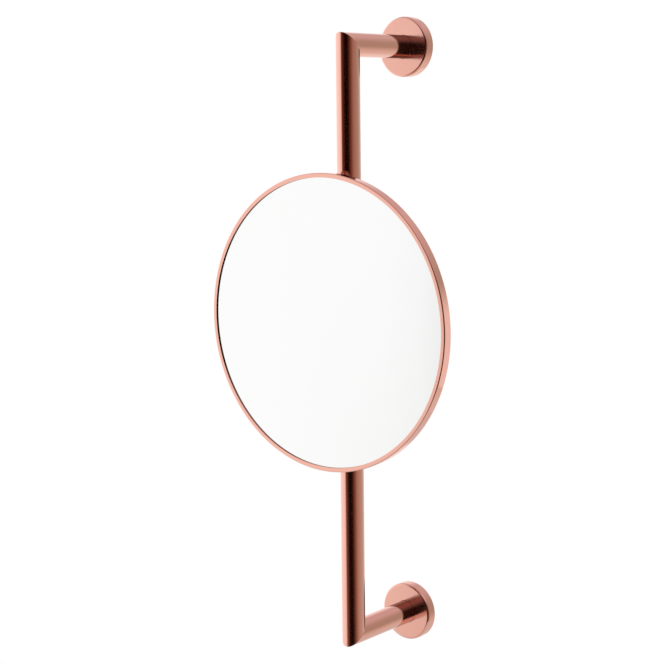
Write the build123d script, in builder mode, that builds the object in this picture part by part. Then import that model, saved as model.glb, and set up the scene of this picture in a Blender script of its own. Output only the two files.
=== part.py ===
from build123d import *
import os

# Round make-up mirror that slides, swivels and tilts on a vertical wall rail.
# Sizes are in millimetres. X runs to the right along the wall, +Y runs into the wall,
# whose face is Y = 0, and Z points up. The origin lies midway between the two roses.

# Tubes of the wall frame
tube_radius = 10.0
tube_wall = 1.5
arm_spacing = 504.0  # between the axes of the two arms
rail_reach = 84.5  # from the wall to the rail's axis

# Wall plates under the roses
plate_radius = 20.0
plate_thickness = 4.0
wall_hole_spacing = 28.0
wall_hole_radius = 2.6
wall_head_radius = 4.9
wall_head_angle = 90.0
spigot_length = 18.0
plate_chamfer = 0.6

# Sleeves soldered into the arms, and their grub screws
insert_wall = 2.0
insert_length = 20.0
solder_gap = 0.03
spigot_clearance = 0.1
grub_radius = 2.0
grub_distance = 15.5  # from the wall to the grub screw's axis
grub_sink = 0.4
groove_depth = 0.8
hex_socket_across = 2.0
hex_socket_depth = 2.0
thread_clearance = 0.04

# Roses
rose_radius = 25.7
rose_depth = 9.5
rose_wall = 1.2
rose_edge_chamfer = 0.7
rose_hole_clearance = 0.1
collar_wall = 3.0
collar_length = 3.8
grip_ring_thickness = 1.5
grip_ring_clearance = 0.05

# Glide bushes
bush_clearance = 0.05
bush_wall = 2.0
bush_length = 13.0
bush_flange_width = 1.6
bush_flange_thickness = 1.5
bush_lead_in = 0.5

# Slider sleeve
slider_height = 23.0  # above the middle of the rail, at rest
sleeve_length = 40.0
sleeve_wall = 2.6
sleeve_chamfer = 0.7
bore_relief = 0.8
swivel_clearance = 0.05

# Fork and tilt pin
pivot_reach = 20.8  # from the rail's axis to the tilt pin's axis
ear_radius = 4.7
ear_root_reach = 10.3  # from the rail's axis, inside the sleeve's wall
ear_thickness = 3.5
eye_width = 8.0
washer_thickness = 0.5
washer_radius = 4.4
pin_radius = 2.0
pin_clearance = 0.05
pin_head_radius = 3.6
pin_head_thickness = 1.8
pin_head_chamfer = 0.6
nut_across = 7.0
nut_thickness = 3.0
pin_end_length = 0.8

# Clamp boss, pad, stud, knob and the snap ring that keeps the knob in the boss
boss_radius = 7.0
boss_reach = 22.0  # from the rail's axis
boss_chamfer = 0.5
pad_radius = 4.0
pad_thickness = 3.0
pad_clearance = 0.05
pad_travel = 1.0
screw_radius = 3.0
knob_gap = 0.1
knob_radius = 11.0
knob_length = 12.0
knob_flutes = 8
flute_radius = 2.6
flute_depth = 1.0
knob_chamfer = 1.0
screw_grip = 8.5  # length of the screw inside the knob's body
screw_end_gap = 0.2
neck_radius = 5.2
neck_length = 5.0  # inside the boss
neck_clearance = 0.1
snap_ring_thickness = 1.0
snap_ring_sink = 0.5  # how far it reaches into the neck and into the boss
snap_ring_clearance = 0.05
snap_ring_slot = 2.0

# Mirror head
casing_radius = 124.65
casing_depth = 8.6
head_reach = 37.3  # from the rail's axis to the front of the casing
bezel_width = 3.7
bezel_lip = 1.2
ring_wall = 1.2
ring_edge_chamfer = 0.6
rolled_lip = 0.8
rolled_width = 2.4
glass_thickness = 3.0
glass_clearance = 0.3
cover_thickness = 1.2
cover_clearance = 0.1
board_clearance = 0.5
board_hole_clearance = 1.0

# Hub on the mirror's back
hub_radius = 24.0
hub_thickness = 2.4
hub_chamfer = 0.6
hub_screw_circle = 36.0
hub_screw_angle = 45.0
hub_screw_count = 4
hub_screw_radius = 1.5
hub_screw_clearance = 0.1
hub_head_radius = 2.8
hub_head_thickness = 1.6
hub_head_chamfer = 0.5
nut_plate_radius = 23.0
nut_plate_thickness = 2.4

# Worked-out sizes
rail_y = -rail_reach
tube_bore = tube_radius - tube_wall
insert_radius = tube_bore - solder_gap
spigot_radius = insert_radius - insert_wall - spigot_clearance
bush_bore = tube_radius + bush_clearance
bush_radius = bush_bore + bush_wall
seat_radius = bush_radius + swivel_clearance
sleeve_radius = seat_radius + sleeve_wall
pivot_y = rail_y - pivot_reach
casing_back = head_reach - casing_depth
cover_back = casing_back + rolled_lip
cover_front = cover_back + cover_thickness
glass_front = head_reach - bezel_lip
glass_back = glass_front - glass_thickness
ring_bore = casing_radius - ring_wall
hub_back = cover_back - hub_thickness
grip_ring_radius = tube_radius + grip_ring_clearance + grip_ring_thickness / 2
board_hole_radius = nut_plate_radius + board_hole_clearance
pad_face = tube_radius + pad_clearance
pad_back = pad_face + pad_thickness
neck_bore = neck_radius + neck_clearance
neck_tip = boss_reach - neck_length
snap_ring_reach = boss_reach - neck_length / 2
snap_ring_bore = neck_radius - snap_ring_sink
snap_ring_radius = neck_bore + snap_ring_sink
snap_groove = snap_ring_thickness + 2 * snap_ring_clearance
knob_back = boss_reach + knob_gap
screw_end = knob_back + screw_grip

rail_axis = Axis((0, rail_y, 0), (0, 0, 1))
head_axis = Axis((0, rail_y, slider_height), (0, -1, 0))


def arm_axis(height):
    """Axis of the arm at this height, pointing away from the wall."""
    return Axis((0, 0, height), (0, -1, 0))


def facing_room(height, distance=0.0):
    """Plane parallel to the wall and this far from it, facing the room, local y upwards."""
    return Plane(origin=(0, -distance, height), x_dir=(1, 0, 0), z_dir=(0, -1, 0))


def arm_section(height):
    """Level plane through an arm: local x is the radius, local y the distance from the wall."""
    return Plane(origin=(0, 0, height), x_dir=(1, 0, 0), z_dir=(0, 0, -1))


def rail_section(height=0.0):
    """Upright plane through the rail: local x is the radius, local y the height."""
    return Plane(origin=(0, rail_y, height), x_dir=(1, 0, 0), z_dir=(0, -1, 0))


def head_section():
    """Level plane through the mirror: local x is the radius, local y the reach from the rail."""
    return Plane(origin=(0, rail_y, slider_height), x_dir=(1, 0, 0), z_dir=(0, 0, -1))


def before_rail(reach):
    """Plane parallel to the wall at this reach in front of the rail's axis, facing the room."""
    return Plane(origin=(0, rail_y - reach, slider_height), x_dir=(1, 0, 0), z_dir=(0, -1, 0))


def behind_rail(reach):
    """Plane parallel to the wall at this reach behind the rail's axis, facing the wall."""
    return Plane(origin=(0, rail_y + reach, slider_height), x_dir=(1, 0, 0), z_dir=(0, 1, 0))


def across_pivot(distance):
    """Plane square to the tilt pin at this X, facing +X: local x towards the room, local y down."""
    return Plane(origin=(distance, pivot_y, slider_height), x_dir=(0, -1, 0), z_dir=(1, 0, 0))


def circles_of(edges, radius):
    """The round edges that have this radius."""
    rounds = edges.filter_by(GeomType.CIRCLE)
    return rounds.filter_by(lambda edge: abs(edge.radius - radius) < 0.001)


os.makedirs("parts", exist_ok=True)

# Rail tube, mitred at both ends
with BuildPart() as rail_tube:
    with BuildSketch(Plane(origin=(0, rail_y, -arm_spacing / 2 - tube_radius))):
        Circle(tube_radius)
        Circle(tube_bore, mode=Mode.SUBTRACT)
    extrude(amount=arm_spacing + 2 * tube_radius)
    for end in (1, -1):
        corner = (0, rail_y, end * arm_spacing / 2)
        split(bisect_by=Plane(origin=corner, z_dir=(0, 1, end)), keep=Keep.BOTTOM)
rail_tube.part.label = "rail_tube"
export_step(rail_tube.part, "parts/rail_tube.step")

# Arms, inserts, wall plates and roses are the same above and below
for side, end in (("upper", 1), ("lower", -1)):
    height = end * arm_spacing / 2

    # The arm seats on the wall plate, and its other end is mitred to the rail
    with BuildPart() as arm:
        with BuildSketch(facing_room(height, plate_thickness)):
            Circle(tube_radius)
            Circle(tube_bore, mode=Mode.SUBTRACT)
        extrude(amount=rail_reach + tube_radius - plate_thickness)
        corner = (0, rail_y, height)
        split(bisect_by=Plane(origin=corner, z_dir=(0, 1, end)), keep=Keep.TOP)
        with BuildSketch(Plane(origin=(0, -grub_distance, height), z_dir=(0, 0, -1))):
            Circle(grub_radius + thread_clearance)
        extrude(amount=tube_radius, mode=Mode.SUBTRACT)
    arm.part.label = f"{side}_arm"
    export_step(arm.part, f"parts/{side}_arm.step")

    # Sleeve inside the arm, tapped for the grub screw
    with BuildPart() as insert:
        with BuildSketch(facing_room(height, plate_thickness)):
            Circle(insert_radius)
            Circle(insert_radius - insert_wall, mode=Mode.SUBTRACT)
        extrude(amount=insert_length)
        with BuildSketch(Plane(origin=(0, -grub_distance, height), z_dir=(0, 0, -1))):
            Circle(grub_radius + thread_clearance)
        extrude(amount=tube_radius, mode=Mode.SUBTRACT)
    insert.part.label = f"{side}_arm_insert"
    export_step(insert.part, f"parts/{side}_arm_insert.step")

    # Disc against the wall with a grooved spigot that carries the arm
    with BuildPart() as wall_plate:
        spigot_tip = plate_thickness + spigot_length
        groove_floor = spigot_radius - groove_depth
        with BuildSketch(arm_section(height)):
            with BuildLine():
                Polyline(
                    (0, 0),
                    (plate_radius, 0),
                    (plate_radius, plate_thickness - plate_chamfer),
                    (plate_radius - plate_chamfer, plate_thickness),
                    (spigot_radius, plate_thickness),
                    (spigot_radius, grub_distance - grub_radius - groove_depth),
                    (groove_floor, grub_distance - grub_radius),
                    (groove_floor, grub_distance + grub_radius),
                    (spigot_radius, grub_distance + grub_radius + groove_depth),
                    (spigot_radius, spigot_tip - plate_chamfer),
                    (spigot_radius - plate_chamfer, spigot_tip),
                    (0, spigot_tip),
                    close=True,
                )
            make_face()
        revolve(axis=arm_axis(height))
        with Locations(facing_room(height, plate_thickness)):
            with GridLocations(wall_hole_spacing, 0, 2, 1):
                CounterSinkHole(wall_hole_radius, wall_head_radius, plate_thickness, wall_head_angle)
    wall_plate.part.label = f"{side}_wall_plate"
    export_step(wall_plate.part, f"parts/{side}_wall_plate.step")

    # Cup over the plate, with an inner collar grooved for the grip ring
    with BuildPart() as rose:
        hole_radius = tube_radius + rose_hole_clearance
        floor = rose_depth - rose_wall
        collar_foot = floor - collar_length
        collar_radius = hole_radius + collar_wall
        groove_half = grip_ring_thickness / 2 + grip_ring_clearance
        groove_middle = floor - collar_length / 2
        groove_radius = grip_ring_radius + groove_half
        with BuildSketch(arm_section(height)):
            with BuildLine():
                Polyline(
                    (rose_radius, 0),
                    (rose_radius, rose_depth),
                    (hole_radius, rose_depth),
                    (hole_radius, groove_middle + groove_half),
                    (groove_radius, groove_middle + groove_half),
                    (groove_radius, groove_middle - groove_half),
                    (hole_radius, groove_middle - groove_half),
                    (hole_radius, collar_foot),
                    (collar_radius, collar_foot),
                    (collar_radius, floor),
                    (rose_radius - rose_wall, floor),
                    (rose_radius - rose_wall, 0),
                    close=True,
                )
            make_face()
        revolve(axis=arm_axis(height))
        chamfer(circles_of(rose.edges(), rose_radius).sort_by(Axis.Y)[0], rose_edge_chamfer)
    rose.part.label = f"{side}_rose"
    export_step(rose.part, f"parts/{side}_rose.step")

# Rubber rings in the roses' collars
with BuildPart() as rose_grip_rings:
    ring_distance = rose_depth - rose_wall - collar_length / 2
    for end in (1, -1):
        height = end * arm_spacing / 2
        with BuildSketch(arm_section(height)):
            with Locations((grip_ring_radius, ring_distance)):
                Rectangle(grip_ring_thickness, grip_ring_thickness)
        revolve(axis=arm_axis(height))
rose_grip_rings.part.label = "rose_grip_rings"
export_step(rose_grip_rings.part, "parts/rose_grip_rings.step")

# Grub screws, driven from below each arm into the spigot's groove
with BuildPart() as arm_grub_screws:
    grub_tip = spigot_radius - groove_depth
    grub_length = tube_radius - grub_sink - grub_tip
    for end in (1, -1):
        height = end * arm_spacing / 2 - grub_tip
        with BuildSketch(Plane(origin=(0, -grub_distance, height), z_dir=(0, 0, -1))):
            Circle(grub_radius)
        extrude(amount=grub_length)
        socket_height = height - grub_length + hex_socket_depth
        with BuildSketch(Plane(origin=(0, -grub_distance, socket_height), z_dir=(0, 0, -1))):
            RegularPolygon(hex_socket_across / 2, 6, major_radius=False)
        extrude(amount=hex_socket_depth, mode=Mode.SUBTRACT)
arm_grub_screws.part.label = "arm_grub_screws"
export_step(arm_grub_screws.part, "parts/arm_grub_screws.step")

# Flanged bushes that run on the rail inside the sleeve's two ends
for side, end in (("upper", 1), ("lower", -1)):
    with BuildPart() as glide_bush:
        shoulder = end * sleeve_length / 2
        inner_end = shoulder - end * bush_length
        outer_end = shoulder + end * bush_flange_thickness
        flange_radius = bush_radius + bush_flange_width
        with BuildSketch(rail_section(slider_height)):
            with BuildLine():
                Polyline(
                    (bush_bore, inner_end),
                    (bush_radius, inner_end),
                    (bush_radius, shoulder),
                    (flange_radius, shoulder),
                    (flange_radius, outer_end),
                    (bush_bore + bush_lead_in, outer_end),
                    (bush_bore, outer_end - end * bush_lead_in),
                    close=True,
                )
            make_face()
        revolve(axis=rail_axis)
    glide_bush.part.label = f"{side}_glide_bush"
    export_step(glide_bush.part, f"parts/{side}_glide_bush.step")

# Sleeve with a fork in front for the mirror and a boss behind for the clamp screw
with BuildPart() as slider_sleeve:
    with BuildSketch(Plane(origin=(0, rail_y, slider_height - sleeve_length / 2))):
        Circle(sleeve_radius)
    extrude(amount=sleeve_length)
    chamfer(slider_sleeve.edges().filter_by(GeomType.CIRCLE), sleeve_chamfer)
    ear_foot = pivot_reach - ear_root_reach
    for start in (eye_width / 2 + washer_thickness, -eye_width / 2 - washer_thickness - ear_thickness):
        with BuildSketch(across_pivot(start)):
            Circle(ear_radius)
            with Locations((-ear_foot / 2, 0)):
                Rectangle(ear_foot, 2 * ear_radius)
        extrude(amount=ear_thickness)
    with BuildSketch(behind_rail(0)):
        Circle(boss_radius)
    extrude(amount=boss_reach)
    boss_rim = circles_of(slider_sleeve.edges(), boss_radius).sort_by(Axis.Y)[-1]
    chamfer(boss_rim, boss_chamfer)
    seat_depth = sleeve_length / 2 - bush_length
    relief_radius = tube_radius + bore_relief
    with BuildSketch(rail_section(slider_height)):
        with BuildLine():
            Polyline(
                (0, -sleeve_length / 2),
                (seat_radius, -sleeve_length / 2),
                (seat_radius, -seat_depth),
                (relief_radius, -seat_depth),
                (relief_radius, seat_depth),
                (seat_radius, seat_depth),
                (seat_radius, sleeve_length / 2),
                (0, sleeve_length / 2),
                close=True,
            )
        make_face()
    revolve(axis=rail_axis, mode=Mode.SUBTRACT)
    with BuildSketch(behind_rail(0)):
        Circle(pad_radius + pad_clearance)
    extrude(amount=pad_back + pad_travel + pad_clearance, mode=Mode.SUBTRACT)
    with BuildSketch(behind_rail(0)):
        Circle(screw_radius + thread_clearance)
    extrude(amount=boss_reach, mode=Mode.SUBTRACT)
    with BuildSketch(behind_rail(neck_tip - neck_clearance)):
        Circle(neck_bore)
    extrude(amount=boss_reach, mode=Mode.SUBTRACT)
    with BuildSketch(behind_rail(snap_ring_reach - snap_groove / 2)):
        Circle(snap_ring_radius + snap_ring_clearance)
    extrude(amount=snap_groove, mode=Mode.SUBTRACT)
    with BuildSketch(across_pivot(0)):
        Circle(pin_radius + pin_clearance)
    extrude(amount=sleeve_radius, both=True, mode=Mode.SUBTRACT)
slider_sleeve.part.label = "slider_sleeve"
export_step(slider_sleeve.part, "parts/slider_sleeve.step")

# Pad with a hollowed face that grips the rail
with BuildPart() as brake_pad:
    with BuildSketch(behind_rail(0)):
        Circle(pad_radius)
    extrude(amount=pad_back)
    with BuildSketch(Plane(origin=(0, rail_y, slider_height - sleeve_length / 2))):
        Circle(pad_face)
    extrude(amount=sleeve_length, mode=Mode.SUBTRACT)
brake_pad.part.label = "brake_pad"
export_step(brake_pad.part, "parts/brake_pad.step")

# Screw fixed to the pad: it slides without turning, because the pad's hollow follows the rail
with BuildPart() as clamp_screw:
    with BuildSketch(behind_rail(pad_back)):
        Circle(screw_radius)
    extrude(amount=screw_end - pad_back)
clamp_screw.part.label = "clamp_screw"
export_step(clamp_screw.part, "parts/clamp_screw.step")

# Fluted knob, tapped for the screw, with a grooved neck that turns inside the boss
with BuildPart() as clamp_knob:
    with BuildSketch(behind_rail(neck_tip)):
        Circle(neck_radius)
    extrude(amount=knob_back - neck_tip)
    with BuildSketch(behind_rail(knob_back)):
        Circle(knob_radius)
    extrude(amount=knob_length)
    chamfer(circles_of(clamp_knob.edges(), knob_radius).sort_by(Axis.Y)[-1], knob_chamfer)
    with BuildSketch(behind_rail(knob_back)):
        with PolarLocations(knob_radius + flute_radius - flute_depth, knob_flutes):
            Circle(flute_radius)
    extrude(amount=knob_length, mode=Mode.SUBTRACT)
    with BuildSketch(behind_rail(snap_ring_reach - snap_groove / 2)):
        Circle(neck_radius)
        Circle(snap_ring_bore - snap_ring_clearance, mode=Mode.SUBTRACT)
    extrude(amount=snap_groove, mode=Mode.SUBTRACT)
    bore_depth = screw_end + pad_travel + screw_end_gap - neck_tip
    with BuildSketch(behind_rail(neck_tip)):
        Circle(screw_radius + thread_clearance)
    extrude(amount=bore_depth, mode=Mode.SUBTRACT)
clamp_knob.part.label = "clamp_knob"
export_step(clamp_knob.part, "parts/clamp_knob.step")

# Split ring, half in the neck's groove and half in the boss's
with BuildPart() as knob_snap_ring:
    with BuildSketch(behind_rail(snap_ring_reach - snap_ring_thickness / 2)):
        Circle(snap_ring_radius)
        Circle(snap_ring_bore, mode=Mode.SUBTRACT)
        with Locations((0, snap_ring_radius)):
            Rectangle(snap_ring_slot, snap_ring_radius, mode=Mode.SUBTRACT)
    extrude(amount=snap_ring_thickness)
knob_snap_ring.part.label = "knob_snap_ring"
export_step(knob_snap_ring.part, "parts/knob_snap_ring.step")

# Tilt pin through the fork, its nut and the washers each side of the eye
fork_side = eye_width / 2 + washer_thickness + ear_thickness
with BuildPart() as tilt_pin:
    with BuildSketch(across_pivot(-fork_side)):
        Circle(pin_radius)
    extrude(amount=2 * fork_side + nut_thickness + pin_end_length)
    with BuildSketch(across_pivot(-fork_side - pin_head_thickness)):
        Circle(pin_head_radius)
    extrude(amount=pin_head_thickness)
    head_rim = circles_of(tilt_pin.edges(), pin_head_radius).sort_by(Axis.X)[0]
    chamfer(head_rim, pin_head_chamfer)
tilt_pin.part.label = "tilt_pin"
export_step(tilt_pin.part, "parts/tilt_pin.step")

with BuildPart() as tilt_nut:
    with BuildSketch(across_pivot(fork_side)):
        RegularPolygon(nut_across / 2, 6, major_radius=False)
        Circle(pin_radius + thread_clearance, mode=Mode.SUBTRACT)
    extrude(amount=nut_thickness)
tilt_nut.part.label = "tilt_nut"
export_step(tilt_nut.part, "parts/tilt_nut.step")

with BuildPart() as tilt_washers:
    for start in (eye_width / 2, -eye_width / 2 - washer_thickness):
        with BuildSketch(across_pivot(start)):
            Circle(washer_radius)
            Circle(pin_radius + pin_clearance, mode=Mode.SUBTRACT)
        extrude(amount=washer_thickness)
tilt_washers.part.label = "tilt_washers"
export_step(tilt_washers.part, "parts/tilt_washers.step")

# Hub plate on the cover's back, with the eye that the tilt pin passes through
with BuildPart() as hub_plate:
    with BuildSketch(before_rail(hub_back)):
        Circle(hub_radius)
    extrude(amount=hub_thickness)
    hub_rim = circles_of(hub_plate.edges(), hub_radius).sort_by(Axis.Y)[-1]
    chamfer(hub_rim, hub_chamfer)
    eye_foot = hub_back + hub_thickness / 2 - pivot_reach
    with BuildSketch(across_pivot(-eye_width / 2)):
        Circle(ear_radius)
        with Locations((eye_foot / 2, 0)):
            Rectangle(eye_foot, 2 * ear_radius)
    extrude(amount=eye_width)
    with BuildSketch(across_pivot(0)):
        Circle(pin_radius + pin_clearance)
    extrude(amount=eye_width, both=True, mode=Mode.SUBTRACT)
    with BuildSketch(before_rail(hub_back)):
        with PolarLocations(hub_screw_circle / 2, hub_screw_count, hub_screw_angle):
            Circle(hub_screw_radius + hub_screw_clearance)
    extrude(amount=hub_thickness, mode=Mode.SUBTRACT)
hub_plate.part.label = "hub_plate"
export_step(hub_plate.part, "parts/hub_plate.step")

# Screws that clamp the cover between the hub plate and the nut plate
with BuildPart() as hub_screws:
    head_back = hub_back - hub_head_thickness
    screw_length = hub_head_thickness + hub_thickness + cover_thickness + nut_plate_thickness
    with BuildSketch(before_rail(head_back)):
        with PolarLocations(hub_screw_circle / 2, hub_screw_count, hub_screw_angle):
            Circle(hub_head_radius)
    extrude(amount=hub_head_thickness)
    head_rims = circles_of(hub_screws.edges(), hub_head_radius).group_by(Axis.Y)[-1]
    chamfer(head_rims, hub_head_chamfer)
    with BuildSketch(before_rail(hub_back)):
        with PolarLocations(hub_screw_circle / 2, hub_screw_count, hub_screw_angle):
            Circle(hub_screw_radius)
    extrude(amount=screw_length - hub_head_thickness)
hub_screws.part.label = "hub_screws"
export_step(hub_screws.part, "parts/hub_screws.step")

# Tapped plate on the inside of the cover
with BuildPart() as nut_plate:
    with BuildSketch(before_rail(cover_front)):
        Circle(nut_plate_radius)
        with PolarLocations(hub_screw_circle / 2, hub_screw_count, hub_screw_angle):
            Circle(hub_screw_radius + thread_clearance, mode=Mode.SUBTRACT)
    extrude(amount=nut_plate_thickness)
nut_plate.part.label = "nut_plate"
export_step(nut_plate.part, "parts/nut_plate.step")

# Pressed cover whose skirt holds the glass against the ring's lip
with BuildPart() as back_cover:
    cover_radius = ring_bore - cover_clearance
    skirt_bore = cover_radius - cover_thickness
    with BuildSketch(head_section()):
        with BuildLine():
            Polyline(
                (0, cover_back),
                (cover_radius, cover_back),
                (cover_radius, glass_back),
                (skirt_bore, glass_back),
                (skirt_bore, cover_front),
                (0, cover_front),
                close=True,
            )
        make_face()
    revolve(axis=head_axis)
    with BuildSketch(before_rail(cover_back)):
        with PolarLocations(hub_screw_circle / 2, hub_screw_count, hub_screw_angle):
            Circle(hub_screw_radius + hub_screw_clearance)
    extrude(amount=cover_thickness, mode=Mode.SUBTRACT)
back_cover.part.label = "back_cover"
export_step(back_cover.part, "parts/back_cover.step")

# Board between cover and glass, open in the middle for the nut plate
with BuildPart() as backing_board:
    board_radius = ring_bore - cover_clearance - cover_thickness - board_clearance
    with BuildSketch(before_rail(cover_front)):
        Circle(board_radius)
        Circle(board_hole_radius, mode=Mode.SUBTRACT)
    extrude(amount=glass_back - cover_front)
backing_board.part.label = "backing_board"
export_step(backing_board.part, "parts/backing_board.step")

# Flat round mirror glass
with BuildPart() as mirror_glass:
    with BuildSketch(before_rail(glass_back)):
        Circle(ring_bore - glass_clearance)
    extrude(amount=glass_thickness)
mirror_glass.part.label = "mirror_glass"
export_step(mirror_glass.part, "parts/mirror_glass.step")

# Casing ring: narrow face in front, side wall, and an edge rolled over the cover behind
with BuildPart() as bezel_ring:
    bezel_bore = casing_radius - bezel_width
    rolled_bore = casing_radius - rolled_width
    with BuildSketch(head_section()):
        with BuildLine():
            Polyline(
                (bezel_bore, head_reach),
                (casing_radius, head_reach),
                (casing_radius, casing_back),
                (rolled_bore, casing_back),
                (rolled_bore, cover_back),
                (ring_bore, cover_back),
                (ring_bore, glass_front),
                (bezel_bore, glass_front),
                close=True,
            )
        make_face()
    revolve(axis=head_axis)
    chamfer(circles_of(bezel_ring.edges(), casing_radius), ring_edge_chamfer)
bezel_ring.part.label = "bezel_ring"
export_step(bezel_ring.part, "parts/bezel_ring.step")
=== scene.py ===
"""Looks of the round make-up mirror on its wall rail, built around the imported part."""

import math

import bpy
from mathutils import Matrix, Vector


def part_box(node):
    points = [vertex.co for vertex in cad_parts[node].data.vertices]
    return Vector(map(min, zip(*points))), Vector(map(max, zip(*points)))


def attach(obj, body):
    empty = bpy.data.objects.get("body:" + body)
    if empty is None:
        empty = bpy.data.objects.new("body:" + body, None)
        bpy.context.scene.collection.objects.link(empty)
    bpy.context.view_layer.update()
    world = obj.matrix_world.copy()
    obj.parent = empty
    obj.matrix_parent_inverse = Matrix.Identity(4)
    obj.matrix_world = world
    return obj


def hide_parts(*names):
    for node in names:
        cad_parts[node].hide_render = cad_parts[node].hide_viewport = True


bl_info = {
    "name": "Rail make-up mirror",
    "version": (1, 0, 0),
    "blender": (4, 5, 0),
    "location": "3D View > Sidebar > Rail Mirror",
    "description": "Builds the polished pieces of a round make-up mirror on a wall rail",
    "category": "Object",
}

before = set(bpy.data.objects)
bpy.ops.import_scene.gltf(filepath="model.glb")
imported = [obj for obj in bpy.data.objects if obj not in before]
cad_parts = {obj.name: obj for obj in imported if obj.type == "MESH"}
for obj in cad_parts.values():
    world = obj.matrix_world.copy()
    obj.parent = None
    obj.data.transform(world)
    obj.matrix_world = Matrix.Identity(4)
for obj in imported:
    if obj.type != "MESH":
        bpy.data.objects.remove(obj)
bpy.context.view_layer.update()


def mm(length):
    """A length in millimetres as metres."""
    return length / 1000


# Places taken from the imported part, in metres: X right along the wall, +Y into the wall, Z up
rail_low, rail_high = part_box("rail_tube")
rose_low, rose_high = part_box("upper_rose")
ring_low, ring_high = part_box("bezel_ring")
glass_low, glass_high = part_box("mirror_glass")
cover_low, cover_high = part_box("back_cover")
sleeve_low, sleeve_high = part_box("slider_sleeve")
hub_low, hub_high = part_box("hub_plate")
knob_low, knob_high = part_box("clamp_knob")
nut_low, nut_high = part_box("tilt_nut")

TUBE_RADIUS = (rail_high.x - rail_low.x) / 2
RAIL_Y = (rail_low.y + rail_high.y) / 2
ARM_HEIGHT = rail_high.z - TUBE_RADIUS
SLIDER_HEIGHT = (sleeve_low.z + sleeve_high.z) / 2
PIVOT_Y = (nut_low.y + nut_high.y) / 2
PIVOT = (0, PIVOT_Y, SLIDER_HEIGHT)
RAIL_BEHIND_MIRROR = (0, RAIL_Y, SLIDER_HEIGHT)

# Radius of the holes that the tilt pin goes through
PIN_HOLE = mm(2.05)

# How far a point may lie from a ring or line and still be taken as on it, and the same for a plane
NEAR = mm(0.02)
NEAR_PLANE = mm(0.001)
# Points closer than this are joined, and edges sharper than this angle are shaded as edges
WELD = mm(0.002)
SHARP_ANGLE = math.radians(40)

# Directions in which turned pieces are laid: their own +Z goes to the room, the wall or the right
TO_ROOM = Matrix.Rotation(math.radians(90), 4, "X")
TO_WALL = Matrix.Rotation(math.radians(-90), 4, "X")
TO_RIGHT = Matrix.Rotation(math.radians(90), 4, "Y")
UPRIGHT = Matrix.Identity(4)


def linear(colour):
    """An sRGB colour such as "#F2B0A0" as linear red, green, blue and alpha."""
    channels = [int(colour[start:start + 2], 16) / 255 for start in (1, 3, 5)]
    values = [c / 12.92 if c <= 0.04045 else ((c + 0.055) / 1.055) ** 2.4 for c in channels]
    return (*values, 1.0)


# Modelling helpers


def take(piece):
    """Makes this the only selected object and the active one."""
    bpy.ops.object.select_all(action="DESELECT")
    piece.select_set(True)
    bpy.context.view_layer.objects.active = piece


def name_piece(piece, name):
    """Names an object and its mesh alike."""
    piece.name = name
    piece.data.name = name
    return piece


def apply_modifiers(piece):
    """Applies every modifier of a piece, in order."""
    take(piece)
    for modifier in list(piece.modifiers):
        bpy.ops.object.modifier_apply(modifier=modifier.name)


def select_edges(piece, wanted):
    """Enters edit mode with the edges selected whose two ends both pass the test."""
    take(piece)
    bpy.ops.object.mode_set(mode="EDIT")
    bpy.ops.mesh.select_mode(type="EDGE")
    bpy.ops.mesh.select_all(action="DESELECT")
    bpy.ops.object.mode_set(mode="OBJECT")
    vertices = piece.data.vertices
    for edge in piece.data.edges:
        edge.select = all(wanted(vertices[index].co) for index in edge.vertices)
    bpy.ops.object.mode_set(mode="EDIT")


def bevel_ring(piece, radius, height, width, segments=5):
    """Rounds the ring edge of a turned piece that lies at this radius and height."""
    def on_ring(place):
        close_radius = abs(Vector(place[:2]).length - radius) < NEAR
        return close_radius and abs(place.z - height) < NEAR

    select_edges(piece, on_ring)
    bpy.ops.mesh.bevel(offset=width, segments=segments, affect="EDGES")
    bpy.ops.object.mode_set(mode="OBJECT")


def turned_piece(name, profile, closed=False, segments=160):
    """A piece turned about Z: a circle extruded and scaled through (radius, height) points.

    A closed profile comes back to its first point, and an open one is capped at both ends."""
    bpy.ops.object.select_all(action="DESELECT")
    radius, height = profile[0]
    fill = "NOTHING" if closed else "NGON"
    bpy.ops.mesh.primitive_circle_add(vertices=segments, radius=radius, fill_type=fill)
    piece = name_piece(bpy.context.object, name)
    bpy.ops.object.mode_set(mode="EDIT")
    bpy.ops.mesh.select_all(action="SELECT")
    bpy.ops.transform.translate(value=(0, 0, height))
    for next_radius, next_height in profile[1:]:
        move = {"value": (0, 0, next_height - height)}
        bpy.ops.mesh.extrude_edges_move(TRANSFORM_OT_translate=move)
        growth = next_radius / radius
        bpy.ops.transform.resize(value=(growth, growth, 1), center_override=(0, 0, 0))
        radius, height = next_radius, next_height
    if not closed:
        bpy.ops.mesh.edge_face_add()
    bpy.ops.mesh.select_all(action="SELECT")
    bpy.ops.mesh.remove_doubles(threshold=WELD)
    bpy.ops.mesh.normals_make_consistent(inside=False)
    bpy.ops.object.mode_set(mode="OBJECT")
    return piece


def lay(piece, place, direction=UPRIGHT):
    """Moves a piece made at the origin to its place, with its own +Z in this direction."""
    take(piece)
    piece.matrix_world = Matrix.Translation(place) @ direction
    bpy.ops.object.transform_apply(location=True, rotation=True, scale=True)
    return piece


def combine(piece, others, operation):
    """Joins other solids to a piece or cuts them out of it, and removes them."""
    for other in others:
        boolean = piece.modifiers.new("Combine", "BOOLEAN")
        boolean.operation = operation
        boolean.solver = "EXACT"
        boolean.object = other
        apply_modifiers(piece)
        bpy.data.objects.remove(other)


def merge(pieces, name):
    """Joins like pieces into one object, each with its own part of the mesh."""
    take(pieces[0])
    for piece in pieces[1:]:
        piece.select_set(True)
    bpy.ops.object.join()
    return name_piece(bpy.context.object, name)


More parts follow.
